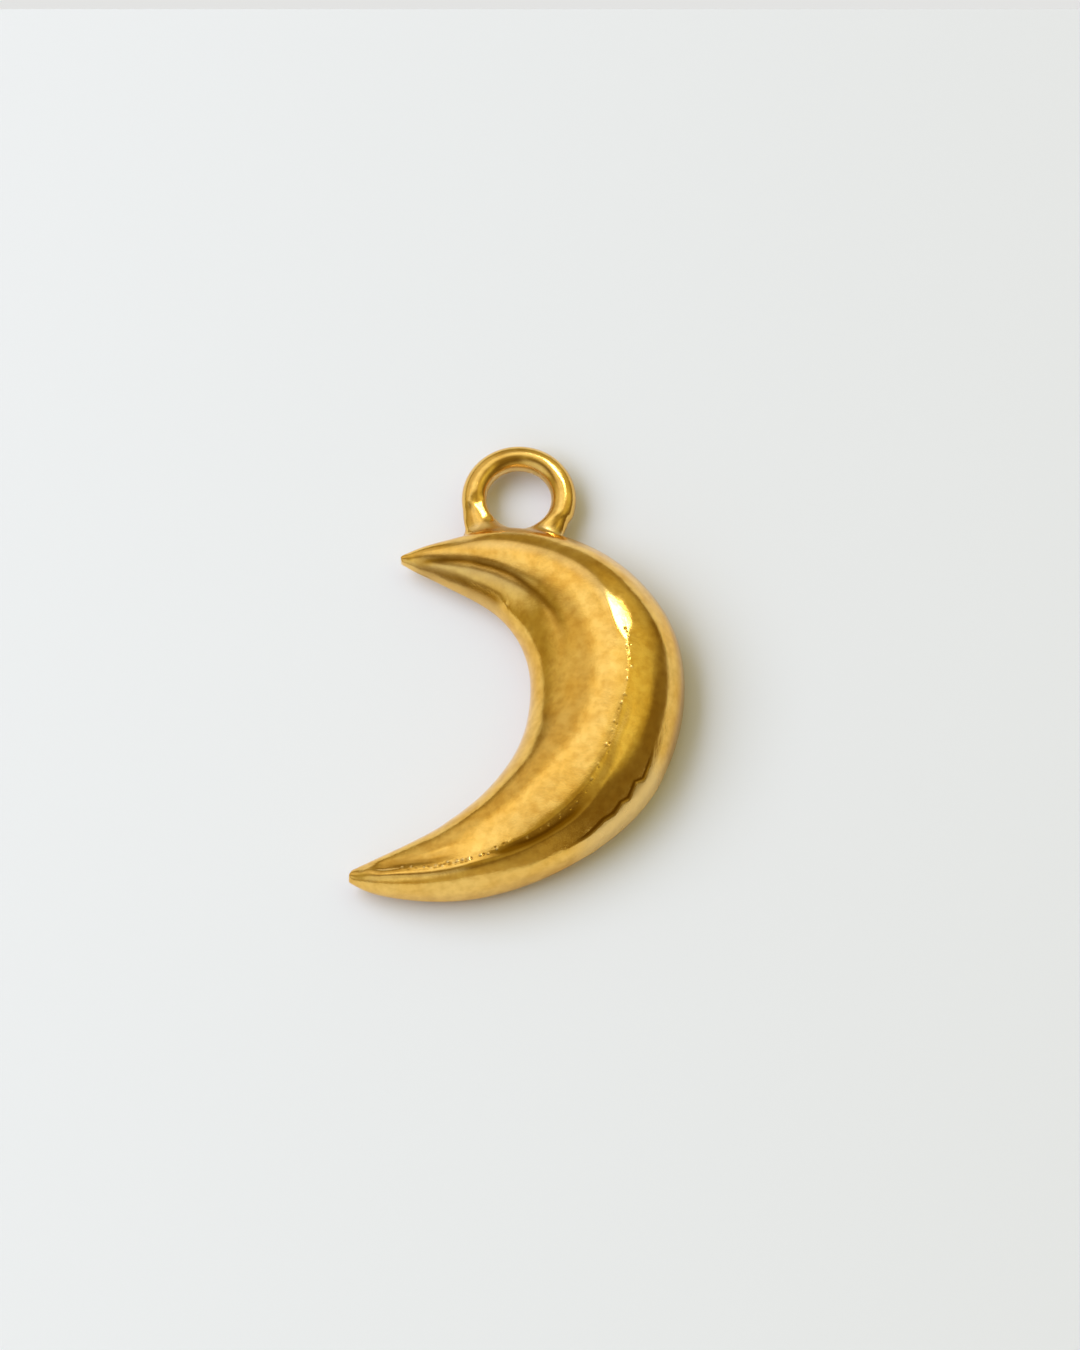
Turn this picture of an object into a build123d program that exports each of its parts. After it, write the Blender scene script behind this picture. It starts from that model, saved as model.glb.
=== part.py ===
from build123d import *
import os
from math import cos, radians, sin

# A small crescent moon charm with a fixed loop, one piece of metal, in millimetres.
# The front is +Z, the horns point to -X, and the upper horn with the loop is towards +Y.
# It is made about a hub, the middle of the inner edge's curve, on the rim plane, where the
# dome and the back meet. At the end it is moved to lie on its flat back over the origin.

# Crescent, seen from the front
inner_radius = 3.41       # hub to the inner edge of the crescent at the waist
waist_width = 4.71        # inner edge to outer edge at the waist, the widest place
upper_tip_angle = 104.9   # direction of the upper tip from the hub, in degrees from +X
lower_tip_angle = -101.7  # direction of the lower tip

# Crescent, seen from the side
crest_height = 2.08       # rim plane to the crest of the dome
rim_height = 0.62         # flat back to the rim plane
back_swell = 0.86         # rim plane to the bottom of the back's curve, past the flat

# Loop: a ring of round wire, flat with the crescent and soldered to the upper horn's edge
loop_angle = 72.9         # direction of the loop from the hub
loop_hole_radius = 1.03   # smooth inside wall of the loop
wire_diameter = 0.78
hole_wear = 0.025         # how far the inside wall is worn into the round wire
loop_sink = 0.59          # how deep the ring's outer edge goes into the crescent
loop_lift = 0.03          # middle of the wire over the rim plane
solder_radius = 0.20      # fillet of solder between the wire and the crescent
bead_radius = 0.36        # bead of solder in the notch on the tip's side of the loop
bead_out = 0.175          # bead's middle outside the middle of the wire
bead_turn = 33            # degrees round the loop from its foot to the bead

# Sections across the crescent, on upright planes through the hub, from horn to horn.
# Every column after the angle is a share of a named size: inner of inner_radius, width of
# waist_width, crest of the section's own width, from the inner edge, rise of crest_height
# and drop of back_swell.
SECTIONS = [
    # angle, inner, width, crest, rise, drop
    (103.5, 1.29, 0.085, 0.58, 0.095, 0.25),
    (98, 1.21, 0.175, 0.62, 0.200, 0.41),
    (86, 1.11, 0.335, 0.65, 0.360, 0.57),
    (loop_angle, 1.065, 0.53, 0.65, 0.540, 0.73),
    (55, 1.055, 0.71, 0.66, 0.715, 0.85),
    (38, 1.04, 0.87, 0.66, 0.880, 0.94),
    (20, 1.015, 0.995, 0.645, 0.985, 0.99),
    (0, 1.00, 1.00, 0.635, 1.000, 1.00),
    (-20, 1.03, 0.93, 0.66, 0.950, 0.97),
    (-40, 1.09, 0.79, 0.71, 0.835, 0.90),
    (-55, 1.17, 0.68, 0.71, 0.700, 0.82),
    (-70, 1.29, 0.56, 0.705, 0.580, 0.74),
    (-85, 1.475, 0.395, 0.66, 0.420, 0.63),
    (-95, 1.66, 0.245, 0.62, 0.260, 0.48),
    (-100.5, 1.81, 0.11, 0.59, 0.130, 0.33),
]
LOOP_ROW = 3              # the section that the loop sits on
UPPER_TIP_REACH = 1.368   # hub to the upper tip, as a share of inner_radius
LOWER_TIP_REACH = 1.895   # hub to the lower tip, as a share of inner_radius
NOSE_TURNS = (0, 30, 60)  # degrees round the blunt nose of a horn, from the last section


def direction(angle):
    return Vector(cos(radians(angle)), sin(radians(angle)), 0)


def section_wire(angle, start, span, crest, over, under):
    """Closed loop of four quarter ellipses on the upright plane at this angle."""
    upright = Plane(origin=(0, 0, 0), x_dir=direction(angle), z_dir=direction(angle - 90))
    inside = crest * span
    outside = span - inside
    middle = (start + inside, 0)
    arcs = [
        EllipticalCenterArc(middle, outside, over, start_angle=0, arc_size=90),
        EllipticalCenterArc(middle, inside, over, start_angle=90, arc_size=90),
        EllipticalCenterArc(middle, inside, under, start_angle=180, arc_size=90),
        EllipticalCenterArc(middle, outside, under, start_angle=270, arc_size=90),
    ]
    return Wire([upright * arc for arc in arcs])


def row_sizes(row):
    """Real sizes of a section: its angle, start, span, crest share, rise and drop."""
    angle, inner, width, crest, rise, drop = row
    return angle, inner * inner_radius, width * waist_width, crest, rise * crest_height, drop * back_swell


def nose(row, tip_angle, tip_reach):
    """Rounded end of a horn, from its last section to the tip."""
    angle, start, span, crest, over, under = row_sizes(row)
    middle = start + crest * span
    wires = []
    for turn in NOSE_TURNS:
        along = sin(radians(turn))
        left = cos(radians(turn))
        reach = middle + along * (tip_reach - middle)
        here = angle + along * (tip_angle - angle)
        near = reach - crest * span * left
        wires.append(section_wire(here, near, span * left, crest, over * left, under * left))
    tip = Vertex(*(direction(tip_angle) * tip_reach))
    return Solid.make_loft([*wires, tip])


def crescent():
    """Domed crescent with its back cut flat."""
    body = Solid.make_loft([section_wire(*row_sizes(row)) for row in SECTIONS])
    body += nose(SECTIONS[0], upper_tip_angle, UPPER_TIP_REACH * inner_radius)
    body += nose(SECTIONS[-1], lower_tip_angle, LOWER_TIP_REACH * inner_radius)
    room = 4 * (inner_radius + waist_width)
    below = Box(room, room, room, align=(Align.CENTER, Align.CENTER, Align.MAX))
    return body - Pos(0, 0, -rim_height) * below


def with_loop(body):
    """The crescent with its ring, the solder at their joint and the ring's smooth hole."""
    angle, start, span, *_ = row_sizes(SECTIONS[LOOP_ROW])
    wire_reach = loop_hole_radius - hole_wear + wire_diameter / 2
    ring_outside = wire_reach + wire_diameter / 2
    centre = direction(angle) * (start + span + ring_outside - loop_sink) + Vector(0, 0, loop_lift)
    place = Pos(*centre) * Rot(0, 0, angle + 90)
    ring = place * Torus(wire_reach, wire_diameter / 2)
    joined = body + ring
    seam = new_edges(body, ring, combined=joined)
    joined = joined.fillet(solder_radius, seam)
    bead_reach = wire_reach + bead_out
    bead_place = Pos(bead_reach * sin(radians(bead_turn)), bead_reach * cos(radians(bead_turn)), 0)
    joined += place * bead_place * Sphere(bead_radius)
    return joined - place * Cylinder(loop_hole_radius, wire_diameter), centre


charm, loop_centre = with_loop(crescent())
extent = charm.bounding_box()
to_base = Vector(-extent.center().X, -extent.center().Y, rim_height)
moon_charm = Pos(*to_base) * charm

os.makedirs("parts", exist_ok=True)
export_step(moon_charm, "parts/moon_charm.step")
print("hub", to_base)
print("loop centre", loop_centre + to_base)
print("solids", len(moon_charm.solids()), "volume", moon_charm.volume)
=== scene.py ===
import random
from math import atan2, cos, degrees, exp, log1p, pi, radians, sin, sqrt

import bmesh
import bpy
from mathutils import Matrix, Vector
from mathutils.kdtree import KDTree


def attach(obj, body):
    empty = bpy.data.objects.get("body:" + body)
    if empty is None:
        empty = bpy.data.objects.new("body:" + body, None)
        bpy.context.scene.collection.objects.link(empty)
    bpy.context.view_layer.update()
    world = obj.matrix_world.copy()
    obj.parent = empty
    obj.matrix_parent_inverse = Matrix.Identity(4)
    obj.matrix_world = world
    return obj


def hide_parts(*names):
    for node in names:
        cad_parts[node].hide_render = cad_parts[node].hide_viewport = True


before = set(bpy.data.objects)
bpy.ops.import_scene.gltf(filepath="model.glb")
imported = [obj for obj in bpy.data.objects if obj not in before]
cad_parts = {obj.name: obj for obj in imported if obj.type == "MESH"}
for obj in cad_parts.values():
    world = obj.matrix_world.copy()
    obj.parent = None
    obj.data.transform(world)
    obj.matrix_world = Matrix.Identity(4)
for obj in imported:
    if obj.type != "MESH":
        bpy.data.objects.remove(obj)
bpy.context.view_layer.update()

# Camera: a long lens that looks down on the charm from the lower horn's side, a little from
# the right, as the charm is photographed. The middle of the view is given from the hub, the
# middle of the crescent's inner curve, in the picture's own right and up directions.
MM = 0.001
hub = Vector((-3.418, -0.959, 0.620)) * MM
camera_turn = radians(7.64)
camera_height = radians(66)
picture_height = 41.85 * MM
focal_length = 400
sensor_height = 36
view_right = Vector((cos(camera_turn), sin(camera_turn), 0))
view_back = Vector((
    sin(camera_turn) * cos(camera_height),
    -cos(camera_turn) * cos(camera_height),
    sin(camera_height),
))
view_up = view_back.cross(view_right)
view_middle = hub + 3.72 * MM * view_right + 0.62 * MM * view_up
lens_distance = picture_height * focal_length / sensor_height

bpy.ops.object.select_all(action="DESELECT")
bpy.ops.object.camera_add(location=view_middle + view_back * lens_distance)
camera = bpy.context.object
camera.name = "catalogue_camera"
camera.rotation_mode = "QUATERNION"
camera.rotation_quaternion = view_back.to_track_quat("Z", "Y")
camera.data.sensor_fit = "VERTICAL"
camera.data.sensor_height = sensor_height
camera.data.lens = focal_length
camera.data.clip_start = 0.01
camera.data.clip_end = 10
bpy.context.scene.camera = camera

# Crescent: the moon itself, cast in one piece with a domed front, a soft ridge along its crest,
# a flat back and two blunt horns. It is modelled as rings of points on upright planes through
# the hub, bridged into a skin that is subdivided smooth.
inner_radius = 3.41 * MM
waist_width = 4.71 * MM
crest_height = 2.08 * MM
back_swell = 0.86 * MM
POINTS_AROUND = 24
SKIN_LEVELS = 3
ridge_lift = 0.03 * MM
ridge_hold = 0.55
nose_reach = 0.13 * MM
section_rows = [
    # angle, inner, width, crest, rise, drop, as shares of the sizes above
    (103.5, 1.29, 0.085, 0.58, 0.095, 0.25),
    (98, 1.21, 0.175, 0.62, 0.200, 0.41),
    (86, 1.11, 0.335, 0.65, 0.360, 0.57),
    (72.9, 1.065, 0.53, 0.65, 0.540, 0.73),
    (55, 1.055, 0.71, 0.66, 0.715, 0.85),
    (38, 1.04, 0.87, 0.66, 0.880, 0.94),
    (20, 1.015, 0.995, 0.645, 0.985, 0.99),
    (0, 1.00, 1.00, 0.635, 1.000, 1.00),
    (-20, 1.03, 0.93, 0.66, 0.950, 0.97),
    (-40, 1.09, 0.79, 0.71, 0.835, 0.90),
    (-55, 1.17, 0.68, 0.71, 0.700, 0.82),
    (-70, 1.29, 0.56, 0.705, 0.580, 0.74),
    (-85, 1.475, 0.395, 0.66, 0.420, 0.63),
    (-95, 1.66, 0.245, 0.62, 0.260, 0.48),
    (-100.5, 1.81, 0.11, 0.59, 0.130, 0.33),
]


def with_halfway_rows(rows):
    """The rows with one more between each two, on a smooth curve through their neighbours."""
    full = [rows[0]]
    for number in range(1, len(rows)):
        before = rows[max(number - 2, 0)]
        near, far = rows[number - 1], rows[number]
        after = rows[min(number + 1, len(rows) - 1)]
        full.append(tuple((9 * (b + c) - a - d) / 16 for a, b, c, d in zip(before, near, far, after)))
        full.append(far)
    return full


def edit(piece):
    """Opens one piece in edit mode with nothing selected, and returns its mesh."""
    bpy.ops.object.select_all(action="DESELECT")
    bpy.context.view_layer.objects.active = piece
    piece.select_set(True)
    bpy.ops.object.mode_set(mode="EDIT")
    bpy.ops.mesh.select_mode(type="VERT")
    bpy.ops.mesh.select_all(action="DESELECT")
    return bmesh.from_edit_mesh(piece.data)


def close_edit():
    bpy.ops.object.mode_set(mode="OBJECT")


def select_points(shape, keep):
    """Selects the points that keep() is true for, and nothing else."""
    for kind in (shape.faces, shape.edges):
        for part in kind:
            part.select = False
    for point in shape.verts:
        point.select = bool(keep(point))
    shape.select_flush_mode()
    shape.select_flush(True)


def section_ring(piece, row, number):
    """Adds one ring of points, sized by halves and turned to its angle about the hub."""
    angle, inner, width, crest, rise, drop = row
    span = width * waist_width
    middle = hub + Vector((inner * inner_radius + crest * span, 0, 0))
    edit(piece)
    bpy.ops.mesh.primitive_circle_add(
        vertices=POINTS_AROUND, radius=MM, location=middle, rotation=(pi / 2, 0, 0))
    shape = bmesh.from_edit_mesh(piece.data)
    first = number * POINTS_AROUND
    near = 0.01 * MM
    halves = (
        (lambda p: p.co.x > middle.x + near, ((1 - crest) * span / MM, 1, 1)),
        (lambda p: p.co.x < middle.x - near, (crest * span / MM, 1, 1)),
        (lambda p: p.co.z > middle.z + near, (1, 1, rise * crest_height / MM)),
        (lambda p: p.co.z < middle.z - near, (1, 1, drop * back_swell / MM)),
    )
    for keep, size in halves:
        select_points(shape, lambda p: p.index >= first and keep(p))
        bpy.ops.transform.resize(value=size, center_override=middle)
    top = middle.z + rise * crest_height - near
    select_points(shape, lambda p: p.index >= first and p.co.z > top)
    bpy.ops.transform.translate(value=(0, 0, ridge_lift * rise))
    select_points(shape, lambda p: p.index >= first)
    bpy.ops.transform.rotate(value=-radians(angle), orient_axis="Z", center_override=hub)
    if number:
        select_points(shape, lambda p: p.index >= first - POINTS_AROUND)
        bpy.ops.mesh.bridge_edge_loops()
    close_edit()


def close_horn(piece, row, ring):
    """Closes the last ring of a horn with a small grid of faces, raised as a round nose."""
    angle, inner, width, crest = row[:4]
    lean = radians(angle)
    out = Vector((-sin(lean), cos(lean), 0)) * (1 if lean > 0 else -1)
    across = Vector((cos(lean), sin(lean), 0))
    span = width * waist_width
    middle = hub + across * (inner * inner_radius + crest * span)
    shape = edit(piece)
    count = len(shape.verts)
    select_points(shape, lambda p: p.index in ring)
    bpy.ops.mesh.fill_grid(span=POINTS_AROUND // 4)
    shape = bmesh.from_edit_mesh(piece.data)
    for point in shape.verts:
        if point.index >= count:
            share = min((point.co - middle).dot(across) / (span / 2), 1)
            point.co += out * nose_reach * sqrt(1 - min(share * share, 1))
    bmesh.update_edit_mesh(piece.data)
    close_edit()


skin_rows = with_halfway_rows(section_rows)
bpy.ops.object.select_all(action="DESELECT")
bpy.ops.mesh.primitive_circle_add(vertices=POINTS_AROUND, radius=MM)
moon = bpy.context.object
moon.name = "polished_moon"
edit(moon)
bpy.ops.mesh.select_all(action="SELECT")
bpy.ops.mesh.delete(type="VERT")
close_edit()
for number, row in enumerate(skin_rows):
    section_ring(moon, row, number)
last_ring = POINTS_AROUND * (len(skin_rows) - 1)
close_horn(moon, skin_rows[0], range(0, POINTS_AROUND))
close_horn(moon, skin_rows[-1], range(last_ring, last_ring + POINTS_AROUND))

# the ridge holds its line when the skin is smoothed
shape = edit(moon)
crest_points = set()
for number in range(len(skin_rows)):
    ring = [p for p in shape.verts if number * POINTS_AROUND <= p.index < (number + 1) * POINTS_AROUND]
    crest_points.add(max(ring, key=lambda p: p.co.z).index)
select_points(shape, lambda p: p.index in crest_points)
bpy.ops.transform.edge_crease(value=ridge_hold)
bpy.ops.mesh.select_all(action="SELECT")
bpy.ops.mesh.normals_make_consistent(inside=False)
close_edit()

# every point of the cage is moved out by as much as the smoothing draws it in
smooth = moon.modifiers.new("smooth_casting", "SUBSURF")
smooth.levels = 1
smooth.render_levels = 1
aims = [point.co.copy() for point in moon.data.vertices]
for turn in range(3):
    smoothed = moon.evaluated_get(bpy.context.evaluated_depsgraph_get())
    drawn = [point.co.copy() for point in smoothed.data.vertices[:len(aims)]]
    for point, aim, now in zip(moon.data.vertices, aims, drawn):
        point.co += aim - now
    moon.data.update()
    bpy.context.view_layer.update()

# the back is ground flat
shape = edit(moon)
select_points(shape, lambda p: p.co.z < 0)
bpy.ops.transform.resize(value=(1, 1, 0), center_override=(0, 0, 0))
close_edit()
smooth.levels = SKIN_LEVELS
smooth.render_levels = SKIN_LEVELS
bpy.ops.object.modifier_apply(modifier=smooth.name)


def bell(offset, width):
    """1 on the line and 0 from the width outward, smooth between."""
    share = min(abs(offset) / width, 1)
    return (1 - share * share) ** 3


def uneven_bell(offset, inside, outside):
    """The same, with one width towards the hub and another away from it."""
    return bell(offset, outside if offset > 0 else inside)


def fade(value, start, end):
    """0 at the start, 1 at the end and beyond, smooth between."""
    share = min(max((value - start) / (end - start), 0), 1)
    return share * share * (3 - 2 * share)


def along(line, angle):
    """The line's distance from the hub at an angle, from its table of angles and distances."""
    for (near, reach), (far, next_reach) in zip(line, line[1:]):
        if far <= angle <= near:
            share = (near - angle) / (near - far)
            return reach + share * (next_reach - reach)
    return line[0][1] if angle > line[0][0] else line[-1][1]


def place_of(point):
    """Direction from the hub in degrees, and distance from it in mm, in plan."""
    flat = point - hub
    return degrees(atan2(flat.y, flat.x)), sqrt(flat.x ** 2 + flat.y ** 2) / MM


def refine(piece, keep):
    """Divides the front's faces where keep(angle, reach) is true, as smooth as they were."""
    shape = edit(piece)
    select_points(shape, lambda p: p.normal.z > 0 and keep(*place_of(p.co)))
    bpy.ops.mesh.subdivide(number_cuts=1, smoothness=1.0)
    bpy.ops.mesh.vertices_smooth(factor=0.3, repeat=2)
    close_edit()


def carve(piece, name, share, depth):
    """Sinks the front by a share of a depth in mm, or raises it where the depth is negative."""
    group = piece.vertex_groups.new(name=name)
    for point in piece.data.vertices:
        if point.normal.z > 0:
            weight = share(*place_of(point.co))
            if weight > 0:
                group.add([point.index], weight, "REPLACE")
    tool = piece.modifiers.new(name, "DISPLACE")
    tool.vertex_group = name
    tool.mid_level = 0
    tool.strength = -depth * MM
    bpy.ops.object.select_all(action="DESELECT")
    piece.select_set(True)
    bpy.context.view_layer.objects.active = piece
    bpy.ops.object.modifier_apply(modifier=tool.name)
    piece.vertex_groups.clear()


# the horns' blunt ends are rounded off
shape = edit(moon)
select_points(shape, lambda p: p.co.z > 0.1 * MM and not -98 < place_of(p.co)[0] < 101)
bpy.ops.mesh.vertices_smooth(factor=0.5, repeat=16)
close_edit()

# the front isn't an even round: soft swells and hollows run along it, left by the hand that cut
# the pattern, and all of them run out before the crescent's two edges
soft_forms = (
    # name, from and to in degrees, run-out in degrees, share across from the inner edge, width as
    # a share, height in mm
    ("inner_hollow", 36, 0, 24, 0.16, 0.40, -0.08),
    ("inner_swell", -38, -60, 32, 0.25, 0.42, 0.12),
    ("belly_swell", 40, 10, 30, 0.52, 0.36, 0.05),
    ("outer_hollow", 5, -45, 25, 0.84, 0.28, -0.09),
    ("loop_hollow", 80, 62, 15, 0.80, 0.26, -0.05),
    ("outer_swell", 38, 32, 20, 0.75, 0.30, 0.05),
    ("lower_swell", -70, -86, 18, 0.62, 0.36, 0.03),
    ("lower_hollow", -84, -88, 10, 0.35, 0.30, -0.03),
)
inner_line = [(row[0], row[1] * inner_radius / MM) for row in section_rows]
rim_line = [(row[0], (row[1] * inner_radius + row[2] * waist_width) / MM) for row in section_rows]


def soft_form(angle, reach, first, last, run_out, middle, width):
    """1 along the middle of a soft form, and 0 outside it and at the crescent's edges."""
    inner, rim = along(inner_line, angle), along(rim_line, angle)
    share = min(max((reach - inner) / (rim - inner), 0), 1)
    length = fade(angle, last - run_out, last) * (1 - fade(angle, first, first + run_out))
    return length * bell(share - middle, width) * (1 - (2 * share - 1) ** 8)


for name, *form, height in soft_forms:
    carve(moon, name, lambda angle, reach: soft_form(angle, reach, *form), -height)


# the outer side is fuller near the rim
def shoulder(angle, reach):
    offset = reach - along(rim_line, angle) + 0.05
    length = (1 - fade(angle, 40, 75)) * fade(angle, -60, -40)
    return length * uneven_bell(offset, 0.35, 0.35)


carve(moon, "shoulder", shoulder, -0.045)

# the inner side of the upper horn is folded: a valley that opens into the belly, and under it
# a sharper groove that stops short with a burr
valley_line = (
    (100, 4.45), (84, 4.50), (72, 4.55), (60, 4.65), (48, 4.75), (34, 4.80), (20, 4.70), (8, 4.55))
groove_line = ((100, 4.30), (93, 4.10), (84, 3.95), (73, 3.80), (52, 3.80))
burr_place = (54, 3.85)


def over(angle, reach):
    """A place in plan, by its direction from the hub in degrees and its distance in mm."""
    lean = radians(angle)
    return Vector((reach * cos(lean), reach * sin(lean)))


def valley(angle, reach):
    offset = reach - along(valley_line, angle) + 0.12
    length = fade(angle, 8, 40) * (1 - fade(angle, 94, 104))
    return length * uneven_bell(offset, 0.25, 0.30)


def fold(angle, reach):
    length = fade(angle, 42, 62) * (1 - fade(angle, 92, 102))
    low, high = along(groove_line, angle), along(valley_line, angle)
    return length * bell(reach - low - 0.65 * (high - low), 0.55)


def groove(angle, reach):
    length = fade(angle, 54, 60) * (1 - fade(angle, 95, 104))
    return length * bell(reach - along(groove_line, angle) + 0.03, 0.28)


def burr(angle, reach):
    return bell((over(angle, reach) - over(*burr_place)).length, 0.11)


refine(moon, lambda angle, reach: angle > 50 and abs(reach - along(groove_line, angle)) < 0.25)
carve(moon, "valley", valley, 0.025)
carve(moon, "fold", fold, -0.025)
carve(moon, "groove", groove, 0.030)
carve(moon, "burr", burr, -0.020)

# the ridge along the crest, by direction and distance from the hub
ridge_line = (
    (80, 5.05), (70, 5.30), (55, 5.80), (42, 6.15), (30, 6.40), (19, 6.50), (4, 6.45), (-7, 6.35),
    (-14, 6.30), (-22, 6.40), (-32, 6.50), (-48, 6.35), (-58, 6.25), (-90, 6.25))


# at the top of the belly the crest stands up a little and is worn flat, where the charm rubs on
# what it lies on: the points above a leaning plane are pressed down on it
def high_crest(angle, reach):
    length = fade(angle, 12, 22) * (1 - fade(angle, 31, 41))
    return length * bell(reach - along(ridge_line, angle) + 0.22, 0.50)


worn_place = Vector((2.32, 1.445, 2.748)) * MM
worn_lean = (radians(11), radians(44))
worn_edge = 0.008 * MM
worn_room = 1.8


def leaning(lean):
    """The direction that leans from +Z by the first angle, towards the second angle from +X."""
    tilt, around = lean
    return Vector((sin(tilt) * cos(around), sin(tilt) * sin(around), cos(tilt)))


def press_flat(piece, place, lean, edge, room):
    """Presses what stands above a leaning plane onto it, within a room in mm, with a soft edge."""
    out = leaning(lean)
    for point in piece.data.vertices:
        above = (point.co - place).dot(out)
        held = 1 - fade((point.co - place).length / MM, 0.6 * room, room)
        if above > -6 * edge and held:
            point.co -= held * (above + edge * log1p(exp(-above / edge))) * out


refine(moon, lambda angle, reach: 12 < angle < 38 and abs(reach - along(ridge_line, angle) + 0.1) < 0.40)
carve(moon, "high_crest", high_crest, -0.045)
press_flat(moon, worn_place, worn_lean, worn_edge, worn_room)


# below it a shallow valley runs along the ridge's outer side
def outer_valley(angle, reach):
    length = fade(angle, -55, -35) * (1 - fade(angle, -8, 5))
    return length * bell(reach - along(ridge_line, angle) - 0.10, 0.35)


carve(moon, "outer_valley", outer_valley, 0.035)

# the lower horn is bent: a shallow valley above its ridge, and a fuller slope below it
lower_line = ((-70, 5.85), (-77, 5.90), (-84, 5.95), (-89, 6.05), (-97, 6.30))


def lower_valley(angle, reach):
    length = fade(-angle, 68, 80) * (1 - fade(-angle, 92, 97))
    return length * bell(reach - along(lower_line, angle) - 0.05, 0.35)


def lower_crest(angle, reach):
    length = fade(-angle, 50, 68) * (1 - fade(-angle, 92, 98))
    return length * bell(reach - along(ridge_line, angle) - 0.03, 0.20)


def lower_slope(angle, reach):
    length = fade(-angle, 50, 70) * (1 - fade(-angle, 95, 101))
    ridge, rim = along(ridge_line, angle), along(rim_line, angle)
    return length * bell(reach - ridge - 0.35 * (rim - ridge), 0.50)


carve(moon, "lower_valley", lower_valley, 0.055)
carve(moon, "lower_crest", lower_crest, 0.025)
carve(moon, "lower_slope", lower_slope, -0.080)

# between the belly and the lower horn the ridge is undercut by a short crease, which painted shade in
# the coat makes dark
crease_line = ((-22, 6.70), (-37, 6.70), (-48, 6.55), (-55, 6.45), (-70, 6.30))


def crease(angle, reach):
    length = fade(-angle, 26, 40) * (1 - fade(-angle, 56, 68))
    return length * uneven_bell(reach - along(crease_line, angle), 0.26, 0.20)


refine(moon, lambda angle, reach: -72 < angle < -22 and abs(reach - along(crease_line, angle)) < 0.20)
carve(moon, "crease", crease, 0.030)

# outside the ridge, and along it, a second ridge that is soft and low
second_line = ((15, 7.20), (0, 7.20), (-12, 7.10), (-22, 6.90), (-27, 6.80), (-40, 6.70))


def second_ridge(angle, reach):
    length = fade(angle, -42, -25) * (1 - fade(angle, 0, 20))
    return length * bell(reach - along(second_line, angle), 0.40)


carve(moon, "second_ridge", second_ridge, -0.020)

# low on the right a ragged step is left where the mould's two halves met, with a strip of
# unpolished skin outside it
seam_line = (
    (-7, 7.50), (-12, 7.60), (-18, 7.65), (-20, 7.50), (-24, 7.55), (-26, 7.45), (-29, 7.45),
    (-32, 7.35), (-37, 7.30), (-42, 7.20), (-48, 7.20))


def seam_length(angle):
    return fade(-angle, 9, 17) * (1 - fade(-angle, 33, 46))


def seam(angle, reach):
    return seam_length(angle) * bell(reach - along(seam_line, angle), 0.09)


def skin_strip(angle, reach):
    return seam_length(angle) * fade(reach - along(seam_line, angle), -0.03, 0.06)


for width in (0.20, 0.10):
    refine(moon, lambda angle, reach: -47 < angle < -6 and abs(reach - along(seam_line, angle)) < width)
carve(moon, "skin_strip", skin_strip, -0.040)

# the ridge is nicked where the polishing wheel has not reached into it, and burrs stand beside
# the nicks
nick_stretches = (
    # from angle, to angle, how many, spread across the ridge, least and most width
    (20, 10, 9, 0.07, 0.04, 0.08), (10, -20, 14, 0.10, 0.04, 0.09), (-20, -55, 12, 0.08, 0.04, 0.09),
    (-55, -68, 8, 0.06, 0.05, 0.09), (-68, -80, 16, 0.06, 0.07, 0.12), (-80, -88, 5, 0.05, 0.05, 0.09))
draw = random.Random(11)
nicks = []
for first, last, count, spread, least, most in nick_stretches:
    for number in range(count):
        angle = first + (last - first) * (number + draw.random()) / count
        reach = along(ridge_line, angle) + draw.uniform(-spread, spread)
        nicks.append((over(angle, reach), draw.uniform(least, most), draw.uniform(0.5, 1.0)))


def dent(places, angle, reach):
    """The deepest of the dents that reach a place."""
    if not -89 < angle < 21 or abs(reach - along(ridge_line, angle)) > 0.24:
        return 0
    here = over(angle, reach)
    return max(size * bell((here - place).length, width) for place, width, size in places)


def nick(angle, reach):
    return dent(nicks[0::2], angle, reach)


def burrs(angle, reach):
    return dent(nicks[1::2], angle, reach)


for width in (0.20, 0.14):
    refine(moon, lambda angle, reach: -89 < angle < 21 and abs(reach - along(ridge_line, angle)) < width)
carve(moon, "nicks", nick, 0.016)
carve(moon, "burrs", burrs, -0.014)

# polishing by hand leaves the front a little uneven
uneven = bpy.data.textures.new("hand_polish", "CLOUDS")
uneven.noise_scale = 1.3 * MM
uneven.noise_depth = 2
front = moon.vertex_groups.new(name="front")
front.add([p.index for p in moon.data.vertices if p.normal.z > 0], 1, "REPLACE")
polish = moon.modifiers.new("hand_polish", "DISPLACE")
polish.texture = uneven
polish.vertex_group = front.name
polish.mid_level = 0.5
polish.strength = 0.030 * MM
bpy.ops.object.modifier_apply(modifier=polish.name)
moon.vertex_groups.clear()

# Loop: a ring of round wire, bent closed and soldered to the outer edge of the upper horn, flat
# with the crescent. Its hole is made a little smaller than the hole radius, by hole_wear.
loop_middle = Vector((-1.265, 6.040, 0.650)) * MM
loop_hole_radius = 1.03 * MM
hole_wear = 0.025 * MM
wire_radius = 0.39 * MM
wire_reach = loop_hole_radius - hole_wear + wire_radius
bpy.ops.object.select_all(action="DESELECT")
bpy.ops.mesh.primitive_torus_add(
    major_segments=112, minor_segments=32, major_radius=wire_reach,
    minor_radius=wire_radius, location=loop_middle)
loop = bpy.context.object
loop.name = "wire_loop"
bpy.ops.object.transform_apply(location=True, rotation=True, scale=True)

# the wire is worn a little flat on its front, most at its foot on the tip's side
wire_worn_edge = 0.004 * MM
wire_flats = (
    # degrees round the loop from +X, depth and room in mm
    (40, 0.015, 0.75),
    (225, 0.060, 1.00),
)
for around, depth, room in wire_flats:
    out = Vector((cos(radians(around)), sin(radians(around)), 0))
    place = loop_middle + wire_reach * out + (wire_radius - depth * MM) * leaning(worn_lean)
    press_flat(loop, place, worn_lean, wire_worn_edge, room)

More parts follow.
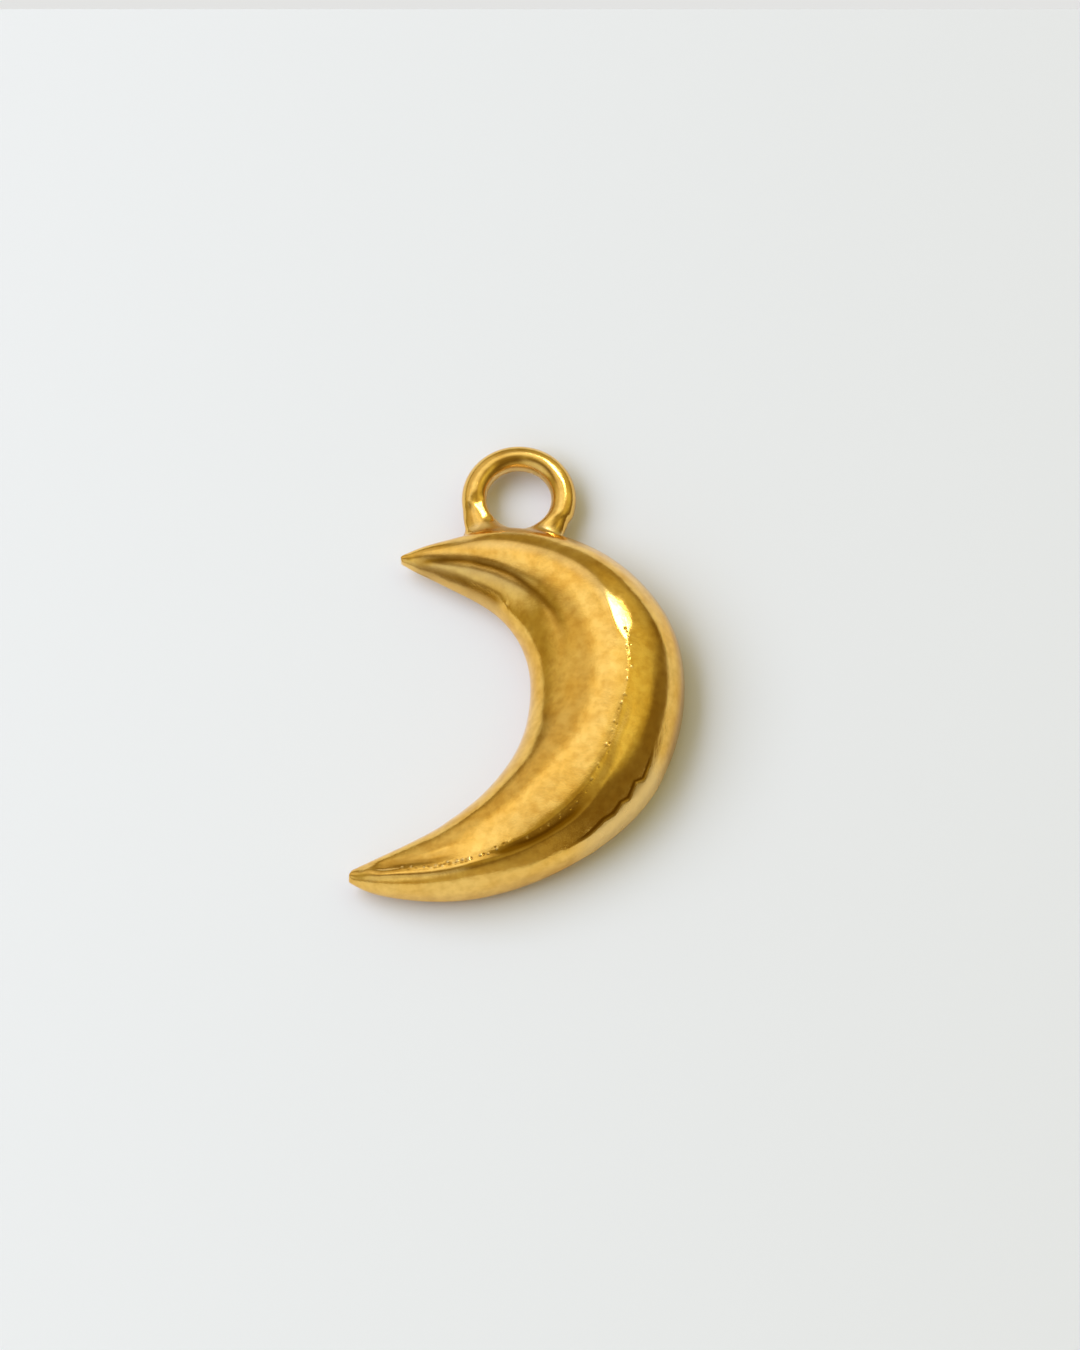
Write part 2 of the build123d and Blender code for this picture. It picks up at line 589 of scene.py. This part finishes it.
# solder fills the notch on each side, and the hollow between the wire and the horn's edge
solder_fills = (
    # out from the loop's middle and round from +X, length, width and height in mm, lean
    (1.53, 219, 0.40, 1.10, 0.34, 18),
    (1.44, 253, 0.80, 0.33, 0.60, -17),
    (1.62, 322, 0.27, 0.50, 0.34, -38),
)
fills = []
for out, around, length, width, high, lean in solder_fills:
    toward = Vector((cos(radians(around)), sin(radians(around)), 0))
    bpy.ops.object.select_all(action="DESELECT")
    bpy.ops.mesh.primitive_uv_sphere_add(
        segments=32, ring_count=20, radius=MM, scale=(length, width, high),
        rotation=(0, 0, radians(lean)), location=loop_middle + out * MM * toward)
    fill = bpy.context.object
    fill.name = "solder_fill"
    bpy.ops.object.transform_apply(location=True, rotation=True, scale=True)
    fills.append(fill)


def melt_in(piece, other):
    """Joins another closed mesh to the piece as one skin."""
    union = piece.modifiers.new("melted", "BOOLEAN")
    union.operation = "UNION"
    union.solver = "EXACT"
    union.object = other
    bpy.ops.object.select_all(action="DESELECT")
    piece.select_set(True)
    bpy.context.view_layer.objects.active = piece
    bpy.ops.object.modifier_apply(modifier=union.name)
    bpy.data.objects.remove(other, do_unlink=True)


def soften_corners(piece, passes):
    """Smooths the loop's hollow corners, each pass within its distance in mm of a corner."""
    shape = edit(piece)
    corners = [
        point.co.copy() for edge in shape.edges for point in edge.verts
        if len(edge.link_faces) == 2 and edge.calc_face_angle_signed(0) < -radians(25)
        and (edge.verts[0].co - loop_middle).length < loop_room]
    near = KDTree(len(corners))
    for number, place in enumerate(corners):
        near.insert(place, number)
    near.balance()
    for width, repeats in passes:
        select_points(shape, lambda p: (p.co - loop_middle).length < loop_room
                      and near.find(p.co)[2] < width * MM)
        bpy.ops.mesh.vertices_smooth(factor=0.5, repeat=repeats)
    close_edit()


loop_room = 2.5 * MM
for fill in fills:
    melt_in(loop, fill)
soften_corners(loop, ((0.30, 30), (0.20, 20)))
melt_in(moon, loop)
soften_corners(moon, ((0.42, 12), (0.30, 16), (0.20, 16), (0.12, 12)))
bpy.ops.object.select_all(action="DESELECT")
moon.select_set(True)
bpy.ops.object.shade_smooth()

# Gold: the cast brass is polished and plated with a thin coat of gold. Painted shade makes the coat
# redder and darker in its folds, grooves, nicks and crease, along the seam's step and near the rim.
# Painted dark reflections streak the loop, and the solder is tarnished. The coat is paler and rougher
# where the casting isn't polished, and paler along the ridge as a painted sheen.
shade_and_tarnish = moon.data.attributes.new("shade_and_tarnish", "FLOAT", "POINT")
raw_and_sheen = moon.data.attributes.new("raw_and_sheen", "FLOAT", "POINT")
ground = moon.data.attributes.new("ground", "FLOAT", "POINT")
# how pale and rough the coat is in each place
wire_dullness = 0.12
foot_dullness = 0.7
wall_dullness = 0.6
back_dullness = 0.5
strip_dullness = 0.65
slope_dullness = 0.12
edge_dullness = 0.35
solder_dullness = 0.7
fold_dullness = 0.5
burr_dullness = 0.9
# the ridge's sheen is a painted highlight, a paler coat along the ridge
painted_sheen_paleness = 0.45
# how strongly it is darkened in each place: painted shade along the rim and in the hollows, groove,
# nicks, crease and lower valley, a painted shadow along the seam's step, and the solder's tarnish
rim_shade_dark = 0.4
solder_dark = 0.25
hollow_shade_dark = 0.9
seam_shadow_dark = 1.4
nick_shade_dark = 0.8
crease_shade_dark = 1.2
lower_valley_shade_dark = 0.5
# how deep the sanding marks are beside the grain, and how far the back may stand off the plane
back_marks = 3
back_room = 0.10 * MM
# painted reflections: dark streaks are painted along the loop where its wire would reflect the dark room
wire_reflection_streaks = (
    # from and to in degrees round the loop from +X, out from its hole in mm, width in mm, how dark
    (88, 138, 0.22, 0.17, 1.0), (20, 92, 0.22, 0.10, 0.6), (-50, 12, 0.47, 0.09, 0.6),
    (138, 215, 0.28, 0.09, 0.7), (-20, 60, 0.74, 0.10, 0.5), (60, 130, 0.05, 0.12, 0.4))


def wire_reflection_dark(around, out):
    """How dark the painted reflection streaks make the loop at a direction and a distance out from its
    hole.
    """
    dark = 0
    for first, last, middle, width, depth in wire_reflection_streaks:
        turned = (around - first + 90) % 360 - 90
        length = fade(turned, 0, 14) * (1 - fade(turned, last - first - 14, last - first))
        dark = max(dark, depth * length * bell(out - middle, width))
    return dark


for point in moon.data.vertices:
    if point.normal.z < -0.9 and point.co.z < back_room:
        ground.data[point.index].value = back_marks
        raw_and_sheen.data[point.index].value = back_dullness
        continue
    angle, reach = place_of(point.co)
    past_rim = reach - along(rim_line, angle)
    past_inner = reach - along(inner_line, angle)
    across = (point.co - loop_middle) / MM
    from_loop = sqrt(across.x ** 2 + across.y ** 2)
    if from_loop < 1.9 and across.z < 0.5 and past_rim > -0.12:
        out = from_loop - loop_hole_radius / MM
        foot = 1 - fade(past_rim, 0.15, 0.40)
        wall = 1 - fade(out, 0.02, 0.14)
        # painted dark reflection streaks on the loop
        shade_and_tarnish.data[point.index].value = wire_reflection_dark(degrees(atan2(across.y, across.x)), out)
        raw_and_sheen.data[point.index].value = max(wire_dullness, foot_dullness * foot, wall_dullness * wall)
        continue
    # painted shade: the coat is darkened along the rim, so the paper it reflects there looks dimmer
    rim_shade = fade(angle, -14, -4) * (1 - fade(angle, 50, 75)) * fade(past_rim, -0.30, -0.05)
    slope = fade(-angle, 40, 60) * fade(past_rim, -0.80, -0.30)
    strip = seam_length(angle) * fade(reach - along(seam_line, angle), 0.0, 0.10)
    inner_edge = fade(angle, 40, 60) * (1 - fade(past_inner, 0.05, 0.22))
    solder = 1 - fade(from_loop, 1.50, 1.80)
    pale_coat = max(strip_dullness * strip, slope_dullness * slope,
                    edge_dullness * inner_edge, solder_dullness * solder)
    dark = max(rim_shade_dark * rim_shade, solder_dark * solder)
    if point.normal.z > 0:
        # painted highlight: a pale sheen along the upper part of the ridge
        length = fade(angle, 18, 34) * (1 - fade(angle, 78, 92))
        painted_sheen = length * bell(reach - along(ridge_line, angle) + 0.08, 0.34)
        hollow = valley(angle, reach)
        pale_coat = max(pale_coat, fold_dullness * fold(angle, reach) * (1 - hollow),
                        burr_dullness * burrs(angle, reach), painted_sheen_paleness * painted_sheen)
        # painted shade darkens the groove, the valley, the nicks, the crease and the lower valley, and a
        # painted shadow lies along the seam's step
        dark = max(dark, groove(angle, reach), hollow_shade_dark * hollow ** 2,
                   seam_shadow_dark * seam(angle, reach), nick_shade_dark * nick(angle, reach),
                   crease_shade_dark * crease(angle, reach), lower_valley_shade_dark * lower_valley(angle, reach))
    raw_and_sheen.data[point.index].value = pale_coat
    shade_and_tarnish.data[point.index].value = min(dark, 1)

gold = bpy.data.materials.new("polished_gold")
gold.use_nodes = True
coat = gold.node_tree
shader = coat.nodes["Principled BSDF"]
shader.inputs["Metallic"].default_value = 1


def coat_node(kind, settings=(), values=()):
    """A node of the coat, with its settings and the values of its sockets."""
    made = coat.nodes.new("ShaderNode" + kind)
    for name, value in settings:
        setattr(made, name, value)
    for name, value in values:
        made.inputs[name].default_value = value
    return made


def coat_link(source, source_name, target, target_name):
    coat.links.new(source.outputs[source_name], target.inputs[target_name])


def coat_noise(scale, detail, rough=0.5):
    """Noise over the piece, with its scale in grains per mm."""
    made = coat_node("TexNoise", values=(("Scale", scale), ("Detail", detail), ("Roughness", rough)))
    coat_link(in_mm, "Vector", made, "Vector")
    return made


def coat_ramp(stops):
    """A colour ramp from positions and colours."""
    made = coat_node("ValToRGB")
    for element, (position, colour) in zip(made.color_ramp.elements, stops):
        element.position = position
        element.color = (*colour, 1)
    return made


def coat_range(low, high, to_low, to_high):
    return coat_node("MapRange", values=(
        ("From Min", low), ("From Max", high), ("To Min", to_low), ("To Max", to_high)))


place = coat_node("TexCoord")
in_mm = coat_node("Mapping", values=(("Scale", (1 / MM, 1 / MM, 1 / MM)),))
coat_link(place, "Object", in_mm, "Vector")
patches = coat_noise(1.1, 3)
mottle = coat_noise(3.4, 4, 0.55)
grain = coat_noise(16.0, 3, 0.6)

# colour: slow patches and a fine mottle, darker and redder with the painted shade, the painted
# reflection streaks and the solder's tarnish
tone = coat_ramp(((0.36, (0.92, 0.53, 0.095)), (0.64, (1.0, 0.63, 0.15))))
coat_link(patches, "Fac", tone, "Fac")
fleck = coat_ramp(((0.34, (0.85, 0.79, 0.66)), (0.60, (1.0, 1.0, 1.0))))
coat_link(mottle, "Fac", fleck, "Fac")
flecked = coat_node("MixRGB", (("blend_type", "MULTIPLY"),), (("Fac", 1.0),))
coat_link(tone, "Color", flecked, "Color1")
coat_link(fleck, "Color", flecked, "Color2")
hollow = coat_node("Attribute", (("attribute_name", "shade_and_tarnish"),))
# painted shade, painted dark reflections and the solder's tarnish all darken the coat towards this
# red-brown
shaded_and_tarnished = coat_node("MixRGB", values=(("Color2", (0.42, 0.19, 0.01, 1)),))
coat_link(hollow, "Fac", shaded_and_tarnished, "Fac")
coat_link(flecked, "Color", shaded_and_tarnished, "Color1")
# paler and rougher where the casting isn't polished, and paler along the ridge as a painted sheen
unpolished_and_sheen = coat_node("Attribute", (("attribute_name", "raw_and_sheen"),))
pale = coat_node("MixRGB", values=(("Color2", (0.92, 0.66, 0.27, 1)),))
coat_link(unpolished_and_sheen, "Fac", pale, "Fac")
coat_link(shaded_and_tarnished, "Color", pale, "Color1")
coat_link(pale, "Color", shader, "Base Color")

# gloss: a little duller in patches
dull = coat_range(0.35, 0.65, 0.11, 0.17)
coat_link(patches, "Fac", dull, "Value")
rougher = coat_node("Math", (("operation", "MULTIPLY_ADD"),), ((1, 0.25),))
coat_link(unpolished_and_sheen, "Fac", rougher, 0)
coat_link(dull, "Result", rougher, 2)
coat_link(rougher, "Value", shader, "Roughness")

# grain: fine pits and waves in the coat
heights = coat_node("Math", (("operation", "ADD"),))
coat_link(mottle, "Fac", heights, 0)
coat_link(grain, "Fac", heights, 1)

# back: fine marks of the sanding belt, all one way
belt = coat_node("Mapping", values=(("Scale", (0.6 / MM, 9 / MM, 1 / MM)),))
coat_link(place, "Object", belt, "Vector")
marks = coat_node("TexNoise", values=(("Scale", 1.0), ("Detail", 2.0)))
coat_link(belt, "Vector", marks, "Vector")
flat_back = coat_node("Attribute", (("attribute_name", "ground"),))
sanded = coat_node("Math", (("operation", "MULTIPLY_ADD"),))
coat_link(marks, "Fac", sanded, 0)
coat_link(flat_back, "Fac", sanded, 1)
coat_link(heights, "Value", sanded, 2)
relief = coat_node("Bump", values=(("Strength", 0.4), ("Distance", 0.007 * MM)))
coat_link(sanded, "Value", relief, "Height")
coat_link(relief, "Normal", shader, "Normal")
moon.data.materials.clear()
moon.data.materials.append(gold)

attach(moon, "root")
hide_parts("moon_charm")

# Studio: a sheet of pale paper under the charm, in a dim warm room with soft light from the left
# and the right, a small window's bright spot at the back on the right, and a lamp for the paper.
paper_size = (34.6 * MM, 47.0 * MM)
lamp_height = 300 * MM
bpy.ops.object.select_all(action="DESELECT")
bpy.ops.mesh.primitive_plane_add(size=1, location=(0.3 * MM, 0.1 * MM, 0))
paper = bpy.context.object
paper.name = "pale_paper"
paper.scale = (paper_size[0], paper_size[1], 1)
paper.rotation_euler.z = camera_turn
bpy.ops.object.transform_apply(location=True, rotation=True, scale=True)
matt = bpy.data.materials.new("matt_paper")
matt.use_nodes = True
matt.node_tree.nodes["Principled BSDF"].inputs["Base Color"].default_value = (0.84, 0.86, 0.92, 1)
matt.node_tree.nodes["Principled BSDF"].inputs["Roughness"].default_value = 0.9
paper.data.materials.append(matt)


def hang_lamp(name, middle, size, glow, turn=0, height=lamp_height):
    """A flat lamp level over the charm. Its place and size are shares of its height."""
    right, back = middle
    place = Vector((cos(camera_turn) * right - sin(camera_turn) * back,
                    sin(camera_turn) * right + cos(camera_turn) * back, 1)) * height
    bpy.ops.object.select_all(action="DESELECT")
    bpy.ops.object.light_add(type="AREA", location=place)
    lamp = bpy.context.object
    lamp.name = name
    lamp.rotation_mode = "XYZ"
    lamp.rotation_euler.z = camera_turn + radians(turn)
    lamp.data.shape = "RECTANGLE"
    lamp.data.size = size[0] * height
    lamp.data.size_y = size[1] * height
    brightest = max(glow)
    lamp.data.color = [part / brightest for part in glow]
    lamp.data.energy = brightest * pi * lamp.data.size * lamp.data.size_y
    return lamp


hang_lamp("left_box", (-0.42, 0.42), (0.50, 0.60), (0.15, 0.20, 0.40))
hang_lamp("right_box", (0.90, -0.03), (0.45, 0.50), (0.15, 0.15, 0.10))
window = hang_lamp("window", (0.28, 0.70), (0.24, 0.21), (13.0, 13.0, 14.5), height=0.299)
window.visible_diffuse = False
table_lamp = hang_lamp("table_lamp", (-1.2, 0.2), (1.6, 1.6), (2.66, 2.84, 3.26), height=0.28)
table_lamp.visible_glossy = False

world = bpy.data.worlds.new("studio_room")
bpy.context.scene.world = world
world.use_nodes = True
room = world.node_tree
room.nodes.clear()


def room_node(kind):
    return room.nodes.new("ShaderNode" + kind)


toward = room_node("TexCoord")
walls = room_node("RGB")
walls.outputs["Color"].default_value = (0.20, 0.15, 0.05, 1)
room_glows = (
    # degrees round from the picture's right, degrees up, full within, none past, colour
    (90, 5, 15, 50, (0.15, 0.15, 0.10)),
    (180, 5, 15, 50, (0.20, 0.20, 0.10)),
    (270, 5, 15, 50, (0.30, 0.30, 0.20)),
    (45, 35, 8, 38, (0.30, 0.30, 0.15)),
    (135, 35, 8, 38, (0.45, 0.45, 0.45)),
    (225, 35, 8, 38, (0.50, 0.60, 0.80)),
    (80, 60, 5, 26, (0.55, 0.60, 0.70)),
    (135, 60, 5, 26, (0.35, 0.35, 0.30)),
    (0, 75, 10, 40, (0.20, 0.20, 0.10)),
    (10, 45, 8, 32, (0.25, 0.25, 0.10)),
    (0, -90, 80, 85, (0.40, 0.40, 0.40)),
)


def add_glow(colour, around, up, full, none, tint):
    """Adds a soft glow to the room's colour, full within an angle of its middle, none past another."""
    lean = radians(around) + camera_turn
    middle = (cos(radians(up)) * cos(lean), cos(radians(up)) * sin(lean), sin(radians(up)))
    dot = room_node("VectorMath")
    dot.operation = "DOT_PRODUCT"
    dot.inputs[1].default_value = middle
    share = room_node("MapRange")
    share.interpolation_type = "SMOOTHSTEP"
    share.inputs["From Min"].default_value = cos(radians(none))
    share.inputs["From Max"].default_value = cos(radians(full))
    mix = room_node("MixRGB")
    mix.blend_type = "ADD"
    mix.inputs["Color2"].default_value = (*tint, 1)
    room.links.new(toward.outputs["Generated"], dot.inputs[0])
    room.links.new(dot.outputs["Value"], share.inputs["Value"])
    room.links.new(share.outputs["Result"], mix.inputs["Fac"])
    room.links.new(colour, mix.inputs["Color1"])
    return mix.outputs["Color"]


lit = walls.outputs["Color"]
for around, up, full, none, tint in room_glows:
    lit = add_glow(lit, around, up, full, none, tint)
glow = room_node("Background")
backdrop = room_node("Background")
backdrop.inputs["Color"].default_value = (0.77, 0.77, 0.76, 1)
rays = room_node("LightPath")
seen = room_node("MixShader")
out = room_node("OutputWorld")
for source, target in (
    (lit, glow.inputs["Color"]),
    (rays.outputs["Is Camera Ray"], seen.inputs["Fac"]),
    (glow.outputs["Background"], seen.inputs[1]),
    (backdrop.outputs["Background"], seen.inputs[2]),
    (seen.outputs["Shader"], out.inputs["Surface"]),
):
    room.links.new(source, target)

bpy.context.scene.view_settings.view_transform = "Standard"
